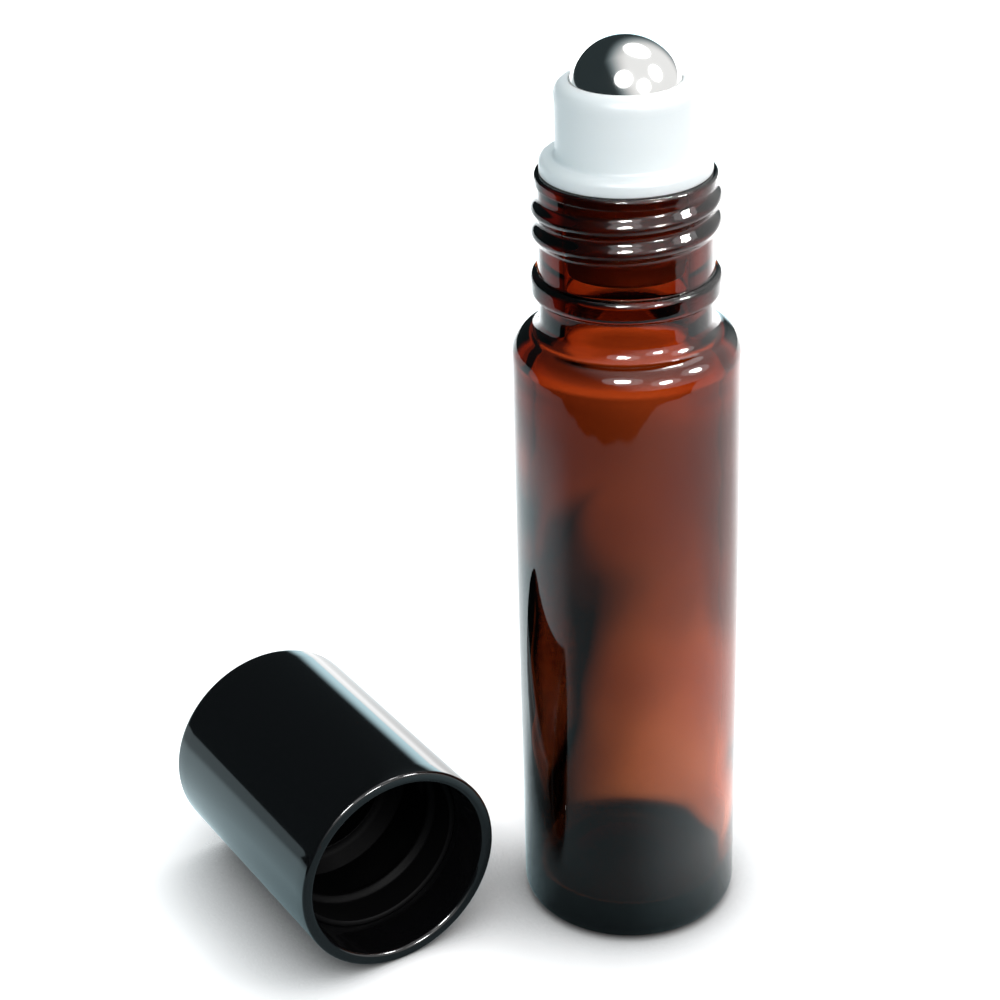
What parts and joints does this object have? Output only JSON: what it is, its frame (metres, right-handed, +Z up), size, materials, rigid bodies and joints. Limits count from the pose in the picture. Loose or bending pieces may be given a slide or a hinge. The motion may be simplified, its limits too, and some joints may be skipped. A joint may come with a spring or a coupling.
{
  "type": "roll-on bottle",
  "caption": "Amber glass roll-on bottle with a white ball housing, steel ball and black screw cap lying beside it.",
  "frame": {"origin": "centre of the bottle's foot, on the surface it stands on", "axes": "+Z up along the bottle's axis; the cap lies beside the bottle on the -X side with its axis along Y and its mouth towards -Y"},
  "size_m": [0.0442, 0.0382, 0.0842],
  "materials": {
    "amber_glass": "glossy, clear amber brown",
    "white_plastic": "satin, slightly translucent natural white",
    "polished_steel": "mirror-polished stainless steel",
    "black_gloss_plastic": "high gloss",
    "black_liner_plastic": "satin"
  },
  "bodies": {
    "bottle": {"glass_bottle": "amber_glass"},
    "roller": {"roller_housing": "white_plastic"},
    "ball": {"roller_ball": "polished_steel"},
    "cap": {"cap_shell": "black_gloss_plastic", "cap_liner": "black_liner_plastic"}
  },
  "joints": [
    {"name": "housing_pull", "type": "slide", "parent": "bottle", "child": "roller", "axis": [0, 0, 1], "range_m": [0, 0.02]},
    {"name": "ball_roll", "type": "hinge", "parent": "roller", "child": "ball", "pos_m": [0, 0, 0.07935], "axis": [1, 0, 0], "continuous": true},
    {"name": "cap_lift", "type": "slide", "parent": "bottle", "child": "cap", "axis": [0, 0, 1], "range_m": [0, 0.1]}
  ]
}
